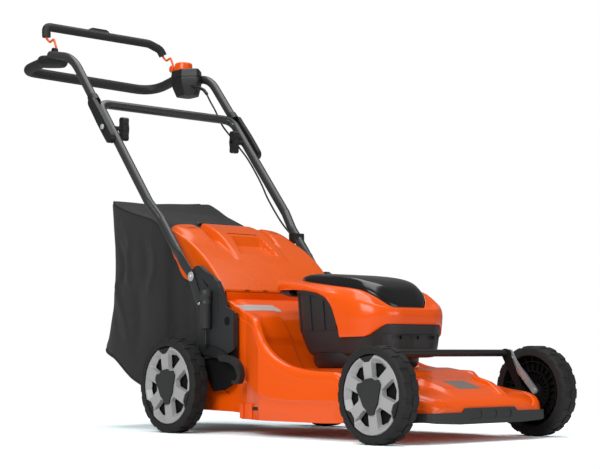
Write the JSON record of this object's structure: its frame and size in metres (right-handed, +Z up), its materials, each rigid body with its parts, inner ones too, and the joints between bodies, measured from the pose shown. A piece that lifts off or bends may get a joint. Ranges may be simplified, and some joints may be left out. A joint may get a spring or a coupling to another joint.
{
  "type": "cordless lawn mower",
  "caption": "Walk-behind battery lawn mower with four spoked wheels, moulded deck, rear flap, rigid-mouthed grass bag and folding handle with bail.",
  "frame": {"origin": "centre of the bounding box's base, on the ground between the wheels", "axes": "-Y is the mower's front, +X the side with the control box, +Z up"},
  "size_m": [0.538, 1.5741, 1.1525],
  "materials": {
    "orange": "moulded gloss orange",
    "black": "fine textured black",
    "grey": "dark grey",
    "lid": "glossy black",
    "rubber": "matt black",
    "wheel": "matt black, lugged",
    "hub": "light grey satin",
    "steel": "zinc plated",
    "tube": "satin dark grey",
    "copper": "copper windings on laminations",
    "cloth": "woven dark grey",
    "board": "circuit board green",
    "wire": "orange coated wire"
  },
  "bodies": {
    "chassis": {"assist_spring_housing": "black", "cable_clip": "black", "control_board": "board", "control_cable_lower": "rubber", "deck": "orange", "flap_hinge_rod": "steel", "flap_spring": "steel", "front_bumper": "grey", "handle_bolt_left": "steel", "handle_bolt_right": "steel", "handle_bracket_left": "black", "handle_bracket_right": "black", "hood_body": "black", "hood_shell": "orange", "lower_bearing": "steel", "lower_handle": "tube", "motor_base": "black", "motor_stator": "copper", "upper_bearing": "steel"},
    "assist_rod": {"assist_rod": "steel"},
    "bail": {"bail_sleeve": "rubber", "bail_wire": "wire"},
    "battery": {"battery_pack": "black"},
    "battery_lid": {"battery_lid": "lid"},
    "blade": {"blade": "steel", "blade_bolt": "steel", "blade_holder": "black", "motor_rotor": "steel"},
    "front_axle": {"front_axle": "black"},
    "grass_bag": {"bag_frame": "black", "grass_bag": "cloth"},
    "rear_axle": {"height_lever": "black", "height_lever_grip": "rubber", "rear_axle": "tube"},
    "rear_flap": {"rear_flap": "orange"},
    "start_button": {"start_button": "orange"},
    "upper_handle": {"clamp_bolt_left": "steel", "clamp_bolt_right": "steel", "clamp_sleeve_left": "black", "clamp_sleeve_right": "black", "control_box": "black", "control_cable_upper": "rubber", "grip_bracket": "black", "grip_loop": "rubber", "upper_handle_left": "tube", "upper_handle_right": "tube"},
    "wheel_front_left": {"wheel_cap_front_left": "grey", "wheel_cover_front_left": "hub", "wheel_front_left": "wheel"},
    "wheel_front_right": {"wheel_cap_front_right": "grey", "wheel_cover_front_right": "hub", "wheel_front_right": "wheel"},
    "wheel_rear_left": {"wheel_cap_rear_left": "grey", "wheel_cover_rear_left": "hub", "wheel_rear_left": "wheel"},
    "wheel_rear_right": {"wheel_cap_rear_right": "grey", "wheel_cover_rear_right": "hub", "wheel_rear_right": "wheel"},
    "wing_knob_left": {"wing_knob_left": "black"},
    "wing_knob_right": {"wing_knob_right": "black"}
  },
  "joints": [
    {"name": "height_adjust", "type": "hinge", "parent": "chassis", "child": "rear_axle", "pos_m": [0, -0.01575, 0.2005], "axis": [1, 0, 0], "range_deg": [-16, 25]},
    {"name": "front_axle_swing", "type": "hinge", "parent": "chassis", "child": "front_axle", "pos_m": [0, -0.63575, 0.187], "axis": [1, 0, 0], "range_deg": [-25, 16]},
    {"name": "assist_rod_slide", "type": "slide", "parent": "chassis", "child": "assist_rod", "axis": [0, 0, -1], "range_m": [-0.0152, 0.0232]},
    {"name": "wheel_front_right_spin", "type": "hinge", "parent": "front_axle", "child": "wheel_front_right", "pos_m": [-0.245, -0.68575, 0.1015], "axis": [1, 0, 0], "continuous": true},
    {"name": "wheel_front_left_spin", "type": "hinge", "parent": "front_axle", "child": "wheel_front_left", "pos_m": [0.245, -0.68575, 0.1015], "axis": [1, 0, 0], "continuous": true},
    {"name": "wheel_rear_right_spin", "type": "hinge", "parent": "rear_axle", "child": "wheel_rear_right", "pos_m": [-0.245, 0.03425, 0.1145], "axis": [1, 0, 0], "continuous": true},
    {"name": "wheel_rear_left_spin", "type": "hinge", "parent": "rear_axle", "child": "wheel_rear_left", "pos_m": [0.245, 0.03425, 0.1145], "axis": [1, 0, 0], "continuous": true},
    {"name": "blade_spin", "type": "hinge", "parent": "chassis", "child": "blade", "pos_m": [0, -0.38775, 0.0552], "axis": [0, 0, 1], "continuous": true},
    {"name": "lid_hinge", "type": "hinge", "parent": "chassis", "child": "battery_lid", "pos_m": [0, -0.54125, 0.2935], "axis": [1, 0, 0], "range_deg": [0, 85]},
    {"name": "battery_lift", "type": "slide", "parent": "chassis", "child": "battery", "axis": [0, 0, 1], "range_m": [0, 0.012]},
    {"name": "flap_hinge", "type": "hinge", "parent": "chassis", "child": "rear_flap", "pos_m": [0, -0.07575, 0.337], "axis": [1, 0, 0], "range_deg": [0, 70], "stiffness_Nm_per_rad": 0.8, "springref_deg": -34.38},
    {"name": "bag_slide", "type": "slide", "parent": "chassis", "child": "grass_bag", "axis": [0, 0.9404, 0.3401], "range_m": [0, 0.35]},
    {"name": "handle_fold", "type": "hinge", "parent": "chassis", "child": "upper_handle", "pos_m": [0, 0.35225, 0.789], "axis": [1, 0, 0], "range_deg": [0, 150], "deforming": ["control_cable_upper"]},
    {"name": "bail_squeeze", "type": "hinge", "parent": "upper_handle", "child": "bail", "pos_m": [0, 0.67055, 1.0516], "axis": [-1, 0, 0], "range_deg": [0, 50], "stiffness_Nm_per_rad": 0.6, "springref_deg": -34.38},
    {"name": "button_press", "type": "slide", "parent": "upper_handle", "child": "start_button", "axis": [0, 0, -1], "range_m": [0, 0.004], "stiffness_N_per_m": 400, "springref_m": -0.002},
    {"name": "wing_knob_right_turn", "type": "hinge", "parent": "upper_handle", "child": "wing_knob_right", "pos_m": [-0.195, 0.35225, 0.789], "axis": [-1, 0, 0], "range_deg": [0, 360]},
    {"name": "wing_knob_left_turn", "type": "hinge", "parent": "upper_handle", "child": "wing_knob_left", "pos_m": [0.195, 0.35225, 0.789], "axis": [1, 0, 0], "range_deg": [0, 360]}
  ],
  "couplings": [
    {"joint": "front_axle_swing", "follows": "height_adjust", "ratio": -1},
    {"joint": "assist_rod_slide", "follows": "height_adjust", "m_per_rad": 0.0515}
  ]
}
